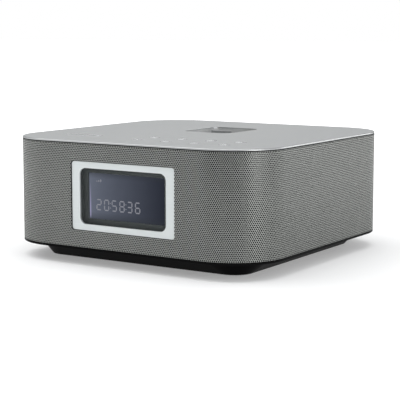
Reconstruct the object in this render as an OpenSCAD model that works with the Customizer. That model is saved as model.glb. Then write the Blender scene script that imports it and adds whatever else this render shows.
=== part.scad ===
// One-piece tabletop hi-fi: wrap-round perforated grille, aluminium top plate with keys and a
// player dock, framed display in the front, two loudspeakers and the electronics inside.
// Units are millimetres, +Z is up, the front faces -Y, and the origin is on the floor in the middle.

/* [Body] */
// Width over the grille
body_w = 265; // [245:1:330]
// Depth over the grille
body_d = 261; // [240:1:320]
// Radius of the four upright corners of the grille
corner_r = 50; // [42:1:52]
// Height of the perforated grille
grille_h = 90; // [90:1:120]
// Thickness of the grille sheet
grille_t = 1; // [0.6:0.1:1.2]
// Thickness of the acoustic cloth behind the grille
cloth_t = 0.6; // [0.3:0.1:1]
// Clearance between the cloth and the cabinet
cloth_gap = 0.3; // [0.2:0.1:0.6]
// Wall of the inner cabinet
cabinet_wall = 2.5; // [2:0.1:4]
// Thickness of the cabinet floor
cabinet_floor_t = 2; // [1.6:0.1:3]
// Thickness of the aluminium top plate
plate_t = 1.4; // [1:0.1:2.5]
// Shadow gap between the grille and the top plate
shadow_gap = 1; // [0.6:0.1:2]
// Width of the plastic rear panel between the two ends of the grille
rear_panel_w = 164; // [150:1:170]
// Gap round the rear panel
rear_panel_gap = 0.4; // [0.2:0.1:0.8]

/* [Base] */
// How far the rubber feet stand below the plinth
foot_proud = 1.2; // [0.8:0.1:4]
// Depth of the pockets that the feet sit in
foot_pocket = 1.2; // [0.6:0.1:1.6]
// Diameter of a foot
foot_d = 16; // [12:1:22]
// Distance of each foot from the edge of the plinth
foot_edge = 17; // [14:1:24]
// Height of the sloping skirt
skirt_h = 13; // [9:0.5:20]
// Height of the upright lip under the grille
lip_h = 2.3; // [1.5:0.1:5]
// How far the top of the skirt stands in from the grille
skirt_top_inset = 13; // [8:1:18]
// Corner radius at the top of the skirt
skirt_top_r = 44; // [30:1:44]
// How far the bottom of the skirt stands in from the grille
skirt_bottom_inset = 28; // [22:1:32]
// Corner radius at the bottom of the skirt
skirt_bottom_r = 17; // [16:1:30]
// Wall of the base moulding
base_wall = 3; // [2.5:0.1:4]

/* [Display] */
// Middle of the display to the right of the middle of the front
display_x = 2.5; // [-5:0.5:5]
// Height of the middle of the display above the lower edge of the grille
display_up = 44.8; // [44:0.1:48]
// Width of the display frame at each side of its opening
bezel_side = 8.5; // [6:0.1:9]
// Height of the display frame above and below its opening
bezel_rail = 5.4; // [3:0.1:8]
// Outer corner radius of the display frame
bezel_r = 2.6; // [1:0.1:6]
// Thickness of the display frame
bezel_t = 1.6; // [1.2:0.1:2]
// How far the frame lies behind the face of the grille
bezel_sink = 1; // [0.4:0.1:1.4]
// Gap between the frame and the cut edge of the grille
bezel_gap = 0.4; // [0.2:0.1:1]
// Width of the opening in the frame
window_w = 90; // [70:0.1:107]
// Height of the opening in the frame
window_h = 48.9; // [40:0.1:56]
// Corner radius of the opening in the frame
window_r = 6; // [3:0.5:8]
// Thickness of the clear window
window_t = 1.8; // [1:0.1:2.5]
// How far the window reaches behind the frame on each side
window_lap = 2; // [1:0.1:2.5]
// Depth of the air space between the window and the lip round the panel
display_air = 2; // [1:0.1:4]
// Thickness of the lip round the liquid crystal panel
lcd_lip_t = 1.6; // [1:0.1:2]
// How far the lip round the panel reaches in beside the opening in the frame
lcd_lip_side = 5; // [3:0.1:8]
// How far the lip round the panel reaches in above and below the opening in the frame
lcd_lip_rail = 4.4; // [3:0.1:8]
// How far the panel reaches behind its lip on each side
lcd_lap = 2; // [1:0.1:2.5]
// Thickness of the liquid crystal panel
lcd_t = 2.8; // [2:0.1:3]
// Thickness of the backlight
backlight_t = 4; // [3:0.1:5]

/* [Keys] */
// Diameter of a round key
key_d = 10; // [8:0.1:12]
// Distance between two columns of round keys
key_pitch_x = 29.6; // [26:0.1:30]
// Distance between the two rows of round keys
key_pitch_y = 25.9; // [22:0.1:28]
// Middle of the first column of round keys
key_first_x = -7.4; // [-12:0.1:-2]
// Middle of the front row of round keys, measured in from the front edge
key_first_in = 38; // [34:0.1:42]
// Length of the long key
long_key_l = 39; // [30:1:44]
// Middle of the long key
long_key_x = -76; // [-80:1:-60]
// Clearance round a key in the top plate
key_gap = 0.35; // [0.25:0.05:0.6]
// How far the crown of a key stands above the top plate
key_crown = 0.9; // [0.5:0.1:2]
// Travel of a key
key_travel = 0.6; // [0.3:0.1:1]
// Width of the stop flange round the foot of a key
key_flange = 1.2; // [0.8:0.1:2]
// Thickness of the stop flange
key_flange_t = 1.2; // [0.8:0.1:2]
// Diameter of a key's stem
key_stem_d = 3.5; // [2.5:0.1:4]
// Clearance kept between a moving key and what is fixed
key_clear = 0.3; // [0.2:0.05:0.5]
// Height of a push switch over its board
switch_h = 4.3; // [3:0.1:5]

/* [Dock] */
// Width of the dock opening
dock_w = 52; // [48:1:58]
// Length of the dock opening from front to back
dock_l = 62; // [50:1:66]
// Corner radius of the dock opening
dock_r = 12; // [6:1:16]
// Middle of the dock behind the middle of the top
dock_y = 34; // [30:1:40]
// Depth of the dock floor below the top plate
dock_depth = 6; // [5:0.5:8]
// Wall of the dock well
dock_wall = 1.6; // [1.2:0.1:2.4]
// Width of the connector tongue
tongue_w = 21.2; // [18:0.1:24]
// Thickness of the connector tongue
tongue_t = 2.4; // [2:0.1:3]
// How far the tip of the tongue lies below the top plate
tongue_sink = 0.6; // [0.4:0.1:2]
// Tilt of the connector each way, in degrees
dock_tilt = 6; // [2:1:6]
// Clearance round the tongue in its slot at full tilt
tongue_clear = 0.5; // [0.3:0.1:1]
// Diameter of the connector's trunnions
trunnion_d = 3; // [2:0.1:4]
// Radial clearance of the trunnions in their ears
trunnion_clear = 0.08; // [0.05:0.01:0.1]

/* [Loudspeakers] */
// Outer diameter of a driver
driver_d = 64; // [53:1:66]
// Width of the flange by which a driver lies on its baffle
driver_flange = 4.5; // [4.2:0.1:6]
// Distance of each driver from the middle
driver_x = 87; // [84:1:90]
// Height of the drivers above the lower edge of the grille
driver_up = 44; // [43:0.5:50]
// Distance of the baffles behind the face of the grille
baffle_in = 26.5; // [26:0.5:34]
// Thickness of a baffle
baffle_t = 3; // [3:0.5:5]
// How far a loudspeaker box reaches past its driver on each side
box_margin_x = 1; // [0.5:0.1:2]
// How far a loudspeaker box reaches past its driver above and below
box_margin_z = 2; // [0.5:0.1:3]
// Depth of a loudspeaker box behind its baffle
box_depth = 90; // [60:1:95]
// Wall of a loudspeaker box
box_wall = 2.5; // [2:0.1:4]
// Travel of a cone each way
cone_travel = 1.5; // [0.5:0.1:2]
// Clearance between moving and fixed parts of a driver
driver_clear = 0.3; // [0.25:0.05:0.4]

/* [Electronics] */
// Thickness of the circuit boards
board_t = 1.6; // [1.2:0.1:2]
// Height of the boards above the cabinet floor
board_up = 8; // [7:0.5:12]
// Front edge of the rear boards behind the middle
board_front = 5; // [0:1:10]
// Distance of the rear edge of those boards from the inner face of the rear panel
board_rear_gap = 10.6; // [10:0.1:14]
// Diameter of the plug that fits the line input
line_plug_d = 3.5; // [2.5:0.1:6.4]
// Clearance on the diameter of that plug
line_plug_clear = 0.1; // [0.06:0.02:0.2]
// Depth of the line input
line_depth = 14; // [11:0.5:15]
// Diameter of the case screws
case_screw_d = 3; // [2.5:0.1:4]
// Diameter of the small screws
small_screw_d = 2.4; // [2:0.1:3]

/* [Hidden] */
$fn = 48;
cut = 1;                                  // how far a cutting shape runs past what it cuts
thin = 0.01;                              // thickness of the layers that a hull joins

plinth_z = foot_proud;
lip_z = plinth_z + skirt_h;
base_top = lip_z + lip_h;                 // lower edge of the grille
grille_top = base_top + grille_h;
plate_z = grille_top + shadow_gap;        // underside of the top plate
top_z = plate_z + plate_t;
frame_rim = 3;                            // wall of the top frame that shows in the shadow gap
wall_cut = 12;                            // how deep the openings in the front and rear walls are cut
front_y = -body_d / 2;
rear_y = body_d / 2;
cabinet_in = grille_t + cloth_t + cloth_gap;
inside_in = cabinet_in + cabinet_wall;
floor_z = base_top + cabinet_floor_t;     // top of the cabinet floor
rear_inner_y = rear_y - cabinet_in;       // inner face of the rear panel

// keys, from the plate downwards
flange_top = plate_z - key_clear;
flange_z = flange_top - key_flange_t;
deck_top = flange_z - key_travel - key_clear;
deck_t = 2.4;
deck_z = deck_top - deck_t;
switch_top = deck_z - 0.4;
stem_z = switch_top + key_travel + key_clear;
key_board_top = switch_top - switch_h;
key_row_y = front_y + key_first_in;
long_key_y = key_row_y + key_pitch_y / 2;
long_stem = long_key_l / 2 - key_d;       // each stem of the long key from its middle
stem_join = 0.2;                          // how far a key's cap and stem reach into its flange
long_key_edge = 1;                        // how far the long key's crown stands in from its rim
key_columns = 4;
key_board_left = long_key_x - 24;
key_board_right = key_first_x + (key_columns - 1) * key_pitch_x + 16.6;
key_board_l = key_board_right - key_board_left;
key_board_x = (key_board_left + key_board_right) / 2;
key_board_w = key_pitch_y + 16.1;
key_post_in = 5;                          // the board's posts from its edges
key_post_d = 6;
switch_w = 6;
switch_plunger_d = 3.4;

// display, from the face backwards
display_z = base_top + display_up;
bezel_w = window_w + 2 * bezel_side;
bezel_h = window_h + 2 * bezel_rail;
lcd_view_w = window_w - 2 * lcd_lip_side;
lcd_view_h = window_h - 2 * lcd_lip_rail;
bezel_y = front_y + bezel_sink;
bezel_back = bezel_y + bezel_t;
window_back = bezel_back + window_t;
lcd_lip_y = window_back + display_air;
lcd_y = lcd_lip_y + lcd_lip_t;
lcd_back = lcd_y + lcd_t;
backlight_back = lcd_back + backlight_t;
holder_back = backlight_back + 2;
flange_y = front_y + inside_in;           // inner face of the cabinet's front wall
holder_flange = 4;
holder_flange_t = 2;
window_corner_r = 3;
lcd_corner_r = 0.6;
display_board_back = holder_back + board_t;

// dock, downwards
dock_floor = top_z - dock_depth;
dock_under = dock_floor - dock_wall;
pivot_z = dock_under - trunnion_d / 2 - 2.5;
well_lip = 0.3;                           // how far the well's wall stands in from the plate's opening
well_wall = 1;                            // and how far it reaches outside it
well_flange = 4;
well_clear = 0.3;                         // clearance round the well in the deck
rocker_w = tongue_w + 5.2;
rocker_t = trunnion_d + 3;
slot_t = tongue_t + 2 * ((dock_floor - pivot_z) * tan(dock_tilt) + tongue_clear);
ear_gap = 0.4;
ear_x = rocker_w / 2 + ear_gap;           // inner face of an ear
ear_t = 3.4;
ear_w = trunnion_d + 4;
ear_z = pivot_z - trunnion_d / 2 - 1.7;
trunnion_end = ear_x + ear_t - 0.2;
dock_post_d = 5;
dock_post_x = ear_x + ear_t + 4;
dock_post_y = 10;
dock_board_top = pivot_z - trunnion_d / 2 - 6.5;
dock_plug_h = 3;

// loudspeakers
driver_z = base_top + driver_up;
baffle_y = front_y + baffle_in;
hole_r = driver_d / 2 - driver_flange;    // hole in the baffle
driver_screw_r = driver_d / 2 - driver_flange / 2 + 0.1;
box_w = driver_d + 2 * box_margin_x;
box_h = driver_d + 2 * box_margin_z;
// heights in a driver, from the face of its baffle to the front
flange_front = 2.5;
shelf_z = 1;
shelf_w = 3;                              // shelf that the surround is glued to
spider_z = -17.3;
seat_z = -18.5;                           // where the frame meets the magnet
gap_back = seat_z - 3;
magnet_back = gap_back - 10.5;
yoke_back = magnet_back - 4;
coil_r = 6.5;
former_t = 0.4;
winding_l = 5;
winding_top = spider_z - cone_travel - 0.2;
former_back = magnet_back + cone_travel + 4.5;
spider_r = 16.2;
spider_t = 0.6;
cone_r = hole_r - 5.3;
cone_t = 0.6;
cone_front = 1.6;
cone_neck = -12;                          // where the cone is glued to the former
cone_neck_h = 0.7;
cone_slope = (cone_r - cone_t - coil_r) / (cone_front - cone_neck - cone_neck_h);
surround_in = cone_r + driver_clear;
surround_out = hole_r - 0.3;
surround_t = 0.6;
cap_r = 8;                                // radius of the dust cap's sphere
cap_up = 0.6;                             // height of the cap's rim above the neck of the cone
glue_gap = 0.2;
cap_rim_z = cone_neck + cone_neck_h + cap_up;
cap_rim_r = coil_r + cap_up * cone_slope - glue_gap;
cap_z = cap_rim_z - sqrt(cap_r * cap_r - cap_rim_r * cap_rim_r);

// boards
board_z = floor_z + board_up;
board_top = board_z + board_t;
board_rear = rear_inner_y - board_rear_gap;
board_l = board_rear - board_front;
main_board_x = 40;
main_board_w = 120;
power_board_x = -65;
power_board_w = 70;
board_hole_in = 6;
board_post_d = 7;
board_screw_l = 5;                        // how far a board's screws reach into their posts
solder = 0.2;                             // how far a component reaches into its board
sink_x = 76;
sink_y = 66;
sink_w = 40;
sink_l = 22;
sink_h = 34;
sink_web = 4;                             // solid part of the heat sink, against the amplifier chip
sink_fins = 7;
sink_fin_t = 2.4;

// screws
case_screw_x = 70;
case_screw_y = 66;
case_boss_d = 9;
case_boss_h = 6.5;
case_head_d = 6;
case_head_h = 2.4;
case_head_up = 4.6;                       // underside of the head above the plinth
rear_screw_in = 6;
rear_head_d = 5;
rear_head_h = 1.2;
hole_clear = 0.6;                         // by how much a screw's through hole is wider
small_head_d = 4.5;
small_head_h = 1.4;

// sockets
rear_window_w = rear_panel_w - 28;
socket_clear = 0.3;
socket_l = 18;                            // how far a socket reaches in behind the rear panel
inlet_x = -54;
inlet_w = 22;
inlet_h = 14;
inlet_pin_x = 4.3;
inlet_pin_d = 2.4;
inlet_pocket_r = 4.5;
inlet_depth = 9;
aerial_x = 15;
aerial_w = 16;
aerial_r = 7;
aerial_bore_r = 4.8;
aerial_pin_r = 1.2;
aerial_depth = 9;
line_x = 45;
line_w = 12;
line_nose_r = 4;
socket_z = board_top + aerial_r;

// ---- shared shapes ----

// A rectangle with round corners, made of plain squares and circles so that its walls stay true
module rounded_rect(w, l, r) {
    square([w - 2 * r, l], center = true);
    square([w, l - 2 * r], center = true);
    for (x = [-1, 1], y = [-1, 1])
        translate([x * (w / 2 - r), y * (l / 2 - r)]) circle(r);
}

// The body's outline, moved inwards
module outline(inset) {
    rounded_rect(body_w - 2 * inset, body_d - 2 * inset, corner_r - inset);
}

module slab(inset, z, h) {
    translate([0, 0, z]) linear_extrude(h) outline(inset);
}

module ring(inset, wall, z, h) {
    translate([0, 0, z]) linear_extrude(h) difference() {
        outline(inset);
        outline(inset + wall);
    }
}

// A rounded block that lies in the front, from y_front back to y_back
module front_block(w, h, r, y_front, y_back) {
    translate([display_x, y_back, display_z]) rotate([90, 0, 0])
        linear_extrude(y_back - y_front) rounded_rect(w, h, r);
}

// A box given by its middle in x, and its low corner in y and z
module block(x, w, y, l, z, h) {
    translate([x - w / 2, y, z]) cube([w, l, h]);
}

// A bar with round ends, upright, its length along x
module pill(l, d, z, h) {
    translate([0, 0, z]) linear_extrude(h) {
        square([l - d, d], center = true);
        for (x = [-1, 1]) translate([x * (l - d) / 2, 0]) circle(d / 2);
    }
}

module at_corners(x, y) {
    for (sx = [-1, 1], sy = [-1, 1]) translate([sx * x, sy * y, 0]) children();
}

module upright(d, z, h) {
    translate([0, 0, z]) cylinder(d = d, h = h);
}

// ---- case ----

function key_place(k) = [
    key_first_x + (k % key_columns) * key_pitch_x,
    key_row_y + floor(k / key_columns) * key_pitch_y,
    0];

module key_positions() {
    for (k = [0 : 2 * key_columns - 1]) translate(key_place(k)) children();
}

module long_key_stems() {
    for (x = [-1, 1]) translate([long_key_x + x * long_stem, long_key_y, 0]) children();
}

module key_board_corners() {
    translate([key_board_x, long_key_y, 0])
        at_corners(key_board_l / 2 - key_post_in, key_board_w / 2 - key_post_in) children();
}

// The dock's outline, made wider all round by grow
module dock_block(grow, z, h) {
    translate([0, dock_y, z]) linear_extrude(h)
        rounded_rect(dock_w + 2 * grow, dock_l + 2 * grow, dock_r + grow);
}

// Satin aluminium plate, cut for the keys and the dock
module top_plate() {
    color("#c6c9ca") difference() {
        slab(0, plate_z, plate_t);
        key_positions() upright(key_d + 2 * key_gap, plate_z - cut, plate_t + 2 * cut);
        translate([long_key_x, long_key_y, 0])
            pill(long_key_l + 2 * key_gap, key_d + 2 * key_gap, plate_z - cut, plate_t + 2 * cut);
        dock_block(0, plate_z - cut, plate_t + 2 * cut);
    }
}

// Black moulding under the plate: its rim shows as the shadow line, its deck guides the keys
module top_frame() {
    color("#17181a") difference() {
        union() {
            slab(cabinet_in, deck_z, deck_t);
            ring(cabinet_in, frame_rim, deck_top, plate_z - deck_top);
            key_board_corners() upright(key_post_d, key_board_top, deck_z - key_board_top);
        }
        key_positions() upright(key_stem_d + 2 * key_gap, deck_z - cut, deck_t + 2 * cut);
        long_key_stems() upright(key_stem_d + 2 * key_gap, deck_z - cut, deck_t + 2 * cut);
        dock_block(well_wall + well_clear, deck_z - cut, deck_t + 2 * cut);
        key_board_corners() upright(small_screw_d, key_board_top - cut, deck_z - key_board_top + cut);
    }
}

// The opening for the display in every layer of the front wall
module display_cut() {
    front_block(bezel_w + 2 * bezel_gap, bezel_h + 2 * bezel_gap, bezel_r + bezel_gap,
        front_y - cut, front_y + wall_cut);
}

// What is cut from the grille and its cloth
module grille_cuts() {
    display_cut();
    block(0, rear_panel_w + 2 * rear_panel_gap, rear_y - wall_cut, wall_cut + cut,
        base_top - cut, grille_h + 2 * cut);
}

// Perforated metal, bent round three sides and both rear corners
module grille() {
    color("#8f9392") difference() {
        ring(0, grille_t, base_top, grille_h);
        grille_cuts();
    }
}

// Black acoustic cloth glued behind the grille
module grille_cloth() {
    color("#101011") difference() {
        ring(grille_t, cloth_t, base_top, grille_h);
        grille_cuts();
    }
}

// Black inner case that everything is screwed to, open at the display, the drivers and the sockets
module cabinet() {
    sound_hole_d = driver_d - 6;
    window_edge = 4;
    color("#1b1c1e") difference() {
        union() {
            ring(cabinet_in, cabinet_wall, base_top, deck_z - base_top);
            slab(cabinet_in, base_top, cabinet_floor_t);
            at_corners(case_screw_x, case_screw_y) upright(case_boss_d, floor_z, case_boss_h);
            board_corners() upright(board_post_d, floor_z, board_up);
        }
        display_cut();
        for (side = [-1, 1]) on_baffle(side) cylinder(d = sound_hole_d, h = baffle_in + cut);
        block(0, rear_window_w, rear_y - wall_cut, wall_cut + cut,
            floor_z + window_edge, deck_z - floor_z - 2 * window_edge);
        at_corners(case_screw_x, case_screw_y)
            upright(case_screw_d, base_top - cut, cabinet_floor_t + case_boss_h + 2 * cut);
        board_corners() upright(small_screw_d, board_z - board_screw_l - cut, board_screw_l + 2 * cut);
        rear_screw_places() cylinder(d = small_screw_d, h = wall_cut);
    }
}

module rear_screw_places() {
    for (x = [-1, 1], z = [base_top + rear_screw_in, deck_z - rear_screw_in])
        translate([x * (rear_panel_w / 2 - rear_screw_in), rear_y, z]) rotate([90, 0, 0]) children();
}

// Puts a socket's own frame, with +Z inwards, on the outer face of the rear panel
module at_socket(x) {
    translate([x, rear_y, socket_z]) rotate([90, 0, 0]) children();
}

// Black panel between the two ends of the grille, with the sockets
module rear_panel() {
    color("#1a1b1d") difference() {
        block(0, rear_panel_w, rear_inner_y, cabinet_in, base_top, grille_h);
        rear_screw_places() cylinder(d = small_screw_d + hole_clear, h = cabinet_in + cut);
        rear_screw_places() cylinder(d = rear_head_d + hole_clear, h = rear_head_h);
        at_socket(inlet_x) translate([0, 0, -cut]) linear_extrude(cabinet_in + 2 * cut)
            square([inlet_w + 2 * socket_clear, inlet_h + 2 * socket_clear], center = true);
        at_socket(aerial_x) translate([0, 0, -cut])
            cylinder(r = aerial_r + socket_clear, h = cabinet_in + 2 * cut);
        at_socket(line_x) translate([0, 0, -cut])
            cylinder(r = line_nose_r + socket_clear, h = cabinet_in + 2 * cut);
    }
}

// ---- base ----

// A thin layer of the skirt, with its corner radius given apart from its inset
module skirt_layer(inset, r, z, h) {
    translate([0, 0, z]) linear_extrude(h) rounded_rect(body_w - 2 * inset, body_d - 2 * inset, r);
}

// The skirt's solid, moved inwards by a wall
module skirt_solid(wall, z_low, z_high) {
    hull() {
        skirt_layer(skirt_bottom_inset + wall, skirt_bottom_r - wall, z_low, thin);
        skirt_layer(skirt_top_inset + wall, skirt_top_r - wall, z_high - thin, thin);
    }
}

module foot_places() {
    foot_in = skirt_bottom_inset + foot_edge;
    at_corners(body_w / 2 - foot_in, body_d / 2 - foot_in) children();
}

// Black moulding: flat lip under the grille, sloping skirt and plinth
module base_tray() {
    boss_d = case_head_d + 5;
    boss_z = plinth_z + base_wall / 2;
    color("#0e0f10") difference() {
        union() {
            difference() {
                union() {
                    skirt_solid(0, plinth_z, lip_z);
                    slab(0, lip_z, lip_h);
                }
                skirt_solid(base_wall, plinth_z + base_wall, lip_z);
                skirt_layer(skirt_top_inset + base_wall, skirt_top_r - base_wall, lip_z - thin, lip_h + cut);
            }
            at_corners(case_screw_x, case_screw_y) upright(boss_d, boss_z, base_top - boss_z);
        }
        at_corners(case_screw_x, case_screw_y) upright(case_screw_d + hole_clear, plinth_z - cut, base_top);
        at_corners(case_screw_x, case_screw_y)
            upright(case_head_d + 1, plinth_z - cut, case_head_up + case_head_h + cut);
        foot_places() upright(foot_d, plinth_z - cut, foot_pocket + cut);
    }
}

module feet() {
    color("#202020") foot_places() upright(foot_d, 0, foot_proud + foot_pocket);
}

// ---- display ----

// Pale satin frame, set a little behind the face of the grille
module display_bezel() {
    color("#d8dedf") difference() {
        front_block(bezel_w, bezel_h, bezel_r, bezel_y, bezel_back);
        front_block(window_w, window_h, window_r, bezel_y - cut, bezel_back + cut);
    }
}

module window_block(y_front, y_back) {
    front_block(window_w + 2 * window_lap, window_h + 2 * window_lap, window_corner_r, y_front, y_back);
}

module lcd_block(y_front, y_back) {
    front_block(lcd_view_w + 2 * lcd_lap, lcd_view_h + 2 * lcd_lap, lcd_corner_r, y_front, y_back);
}

module display_window() {
    color("#394048", 0.5) window_block(bezel_back, window_back);
}

// Black housing that carries the frame, the window, the panel and the board
module display_holder() {
    color("#151618") difference() {
        union() {
            front_block(bezel_w, bezel_h, bezel_r, bezel_back, holder_back);
            front_block(bezel_w + 2 * holder_flange, bezel_h + 2 * holder_flange, bezel_r + holder_flange,
                flange_y, flange_y + holder_flange_t);
        }
        window_block(bezel_back - cut, window_back);
        front_block(window_w + 1, window_h + 1, window_corner_r, window_back - cut, lcd_lip_y);
        front_block(lcd_view_w, lcd_view_h, lcd_corner_r, lcd_lip_y - cut, lcd_y + cut);
        lcd_block(lcd_y, holder_back + cut);
    }
}

module lcd_panel() {
    color("#5a6070") lcd_block(lcd_y, lcd_back);
}

module lcd_backlight() {
    color("#f0f0ea") lcd_block(lcd_back, backlight_back);
}

// Display board, with its controller and the socket for its flat cable
module display_board() {
    board_r = 2;
    color("#1e5a38") union() {
        front_block(bezel_w - 6, bezel_h - 4, board_r, holder_back, display_board_back);
        translate([display_x, display_board_back, display_z]) {
            block(-20, 14, -solder, 2, -7, 14);
            block(18, 26, -solder, 5, -14, 6);
        }
    }
}

// ---- keys ----

// A key: crowned cap, stop flange under the plate, and a stem down to its switch
module round_key(k) {
    rise = top_z + key_crown;
    crown_r = (pow(key_d / 2, 2) + pow(key_crown, 2)) / (2 * key_crown);
    color("#c9cccd") translate(key_place(k)) {
        intersection() {
            upright(key_d, flange_top - stem_join, rise - flange_top + cut);
            translate([0, 0, rise - crown_r]) sphere(crown_r);
        }
        upright(key_d + 2 * key_flange, flange_z, key_flange_t);
        upright(key_stem_d, stem_z, flange_z - stem_z + stem_join);
    }
}

// The long key has a stepped crown, one flange and two stems
module long_key() {
    crown_l = long_key_l - 2 * long_key_edge;
    crown_d = key_d - 2 * long_key_edge;
    color("#c9cccd") union() {
        translate([long_key_x, long_key_y, 0]) {
            pill(long_key_l, key_d, flange_top - stem_join, top_z + key_crown / 2 - flange_top + stem_join);
            pill(crown_l, crown_d, top_z, key_crown);
            pill(long_key_l + 2 * key_flange, key_d + 2 * key_flange, flange_z, key_flange_t);
        }
        long_key_stems() upright(key_stem_d, stem_z, flange_z - stem_z + stem_join);
    }
}

module key_board() {
    color("#1e5a38") difference() {
        translate([key_board_x, long_key_y, key_board_top - board_t]) linear_extrude(board_t)
            square([key_board_l, key_board_w], center = true);
        key_board_corners()
            upright(small_screw_d + hole_clear, key_board_top - board_t - cut, board_t + 2 * cut);
    }
}

module push_switch() {
    plunger_h = 1;
    block(0, switch_w, -switch_w / 2, switch_w, key_board_top, switch_h - plunger_h);
    upright(switch_plunger_d, switch_top - plunger_h - solder, plunger_h + solder);
}

module key_switches() {
    color("#2b2b2b") {
        key_positions() push_switch();
        long_key_stems() push_switch();
    }
}

// ---- dock ----

// Silver well let into the plate, with two ears under its floor for the connector
module dock_well() {
    color("#b4b8b9") difference() {
        union() {
            dock_block(well_wall, dock_under, plate_z - dock_under);
            dock_block(well_flange, deck_top, plate_z - deck_top);
            for (x = [-1, 1]) block(x * (ear_x + ear_t / 2), ear_t, dock_y - ear_w / 2, ear_w,
                ear_z, dock_under - ear_z + solder);
            translate([0, dock_y, 0]) at_corners(dock_post_x, dock_post_y)
                upright(dock_post_d, dock_board_top, dock_under - dock_board_top + solder);
        }
        dock_block(-well_lip, dock_floor, plate_z - dock_floor + cut);
        block(0, tongue_w + 2, dock_y - slot_t / 2, slot_t, dock_under - cut, dock_wall + 2 * cut);
        translate([-ear_x - ear_t - cut, dock_y, pivot_z]) rotate([0, 90, 0])
            cylinder(d = trunnion_d + 2 * trunnion_clear, h = 2 * (ear_x + ear_t + cut));
    }
}

// Plug tongue on a rocker that tilts a little to and fro
module dock_connector() {
    rocker_top = pivot_z + rocker_t / 2;
    tongue_foot = rocker_top - solder;
    color("#2a2c2e") union() {
        block(0, rocker_w, dock_y - rocker_t / 2, rocker_t, pivot_z - rocker_t / 2, rocker_t);
        block(0, tongue_w, dock_y - tongue_t / 2, tongue_t, tongue_foot, top_z - tongue_sink - tongue_foot);
        translate([-trunnion_end, dock_y, pivot_z]) rotate([0, 90, 0])
            cylinder(d = trunnion_d, h = 2 * trunnion_end);
    }
}

// Dock board under the well, with the plug of its cable below it
module dock_board() {
    board_edge = 3;
    board_l = 2 * (dock_post_y + board_edge);
    board_under = dock_board_top - board_t;
    color("#1e5a38") union() {
        block(0, 2 * (dock_post_x + board_edge), dock_y - board_l / 2, board_l, board_under, board_t);
        block(0, 18, dock_y - 4, 8, board_under - dock_plug_h, dock_plug_h + solder);
    }
}

// ---- loudspeakers ----

// Puts a driver's own frame, with +Z to the front, on the baffle of one side
module on_baffle(side) {
    translate([side * driver_x, baffle_y, driver_z]) rotate([90, 0, 0]) children();
}

module driver_screw_places() {
    for (a = [45 : 90 : 315]) rotate([0, 0, a]) translate([driver_screw_r, 0, 0]) children();
}

module baffle(side) {
    color("#232425") difference() {
        block(side * driver_x, box_w, baffle_y, baffle_t, driver_z - box_h / 2, box_h);
        on_baffle(side) translate([0, 0, -baffle_t - cut]) {
            cylinder(r = hole_r, h = baffle_t + 2 * cut);
            driver_screw_places() cylinder(d = small_screw_d, h = baffle_t + 2 * cut);
        }
    }
}

// Closed box behind a baffle
module speaker_box(side) {
    y_front = baffle_y + baffle_t;
    color("#232425") difference() {
        block(side * driver_x, box_w, y_front, box_depth, driver_z - box_h / 2, box_h);
        block(side * driver_x, box_w - 2 * box_wall, y_front - cut, box_depth - box_wall + cut,
            driver_z - box_h / 2 + box_wall, box_h - 2 * box_wall);
    }
}

// Pressed frame: flange, shelf for the surround, open cone and seat for the magnet
module basket(side) {
    seat_r = spider_r + 1.4;
    seat_hole_r = coil_r + 2.1;
    recess_r = hole_r - 0.2;
    color("#3a3c3e") on_baffle(side) difference() {
        rotate_extrude() polygon([
            [hole_r - shelf_w, 0], [hole_r - shelf_w, shelf_z], [recess_r, shelf_z], [recess_r, flange_front],
            [driver_d / 2, flange_front], [driver_d / 2, 0], [hole_r - 0.6, 0],
            [seat_r, spider_z + 0.3], [seat_r, seat_z], [seat_hole_r, seat_z], [seat_hole_r, spider_z],
            [spider_r + 0.2, spider_z], [hole_r - 2.1, 0]]);
        for (a = [0 : 60 : 300]) rotate([0, 0, a])
            translate([spider_r - 2, -4, -15.5]) cube([hole_r - spider_r + 3, 8, 13]);
        driver_screw_places() translate([0, 0, -cut])
            cylinder(d = small_screw_d + hole_clear, h = flange_front + 2 * cut);
    }
}

// Back plate with its pole, ring magnet and front plate
module magnet(side) {
    plate_r = 17;
    pole_r = coil_r - former_t - 0.5;
    front_hole_r = coil_r + 0.6;
    ring_r = 20;
    ring_hole_r = 9.5;
    front_plate_r = 17.5;
    color("#55585b") on_baffle(side) rotate_extrude() polygon([
        [0, yoke_back], [plate_r, yoke_back], [plate_r, magnet_back], [ring_r, magnet_back],
        [ring_r, gap_back], [front_plate_r, gap_back], [front_plate_r, seat_z], [front_hole_r, seat_z],
        [front_hole_r, gap_back], [ring_hole_r, gap_back], [ring_hole_r, magnet_back],
        [pole_r, magnet_back], [pole_r, seat_z], [0, seat_z]]);
}

// Thin former with its winding, in the gap of the magnet
module voice_coil(side) {
    winding_t = 0.3;
    color("#b87333") on_baffle(side) rotate_extrude() {
        translate([coil_r - former_t, former_back]) square([former_t, cone_neck - former_back]);
        translate([coil_r - former_t / 2, winding_top - winding_l])
            square([former_t / 2 + winding_t, winding_l]);
    }
}

module spider(side) {
    spider_in = coil_r + driver_clear;
    color("#c8a050") on_baffle(side) rotate_extrude()
        translate([spider_in, spider_z]) square([spider_r - spider_in, spider_t]);
}

module cone(side) {
    neck_w = 0.8;
    color("#2c2c2e") on_baffle(side) rotate_extrude() polygon([
        [cone_r, cone_front - cone_neck_h], [cone_r, cone_front], [cone_r - cone_t, cone_front],
        [coil_r, cone_neck + cone_neck_h], [coil_r, cone_neck], [coil_r + neck_w, cone_neck]]);
}

// Shallow dome over the voice coil, its rim glued to the cone
module dust_cap(side) {
    color("#2c2c2e") on_baffle(side) intersection() {
        translate([0, 0, cap_z]) difference() {
            sphere(cap_r);
            sphere(cap_r - cone_t);
        }
        translate([0, 0, cap_rim_z]) cylinder(r = cap_r, h = cap_r);
    }
}

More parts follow.
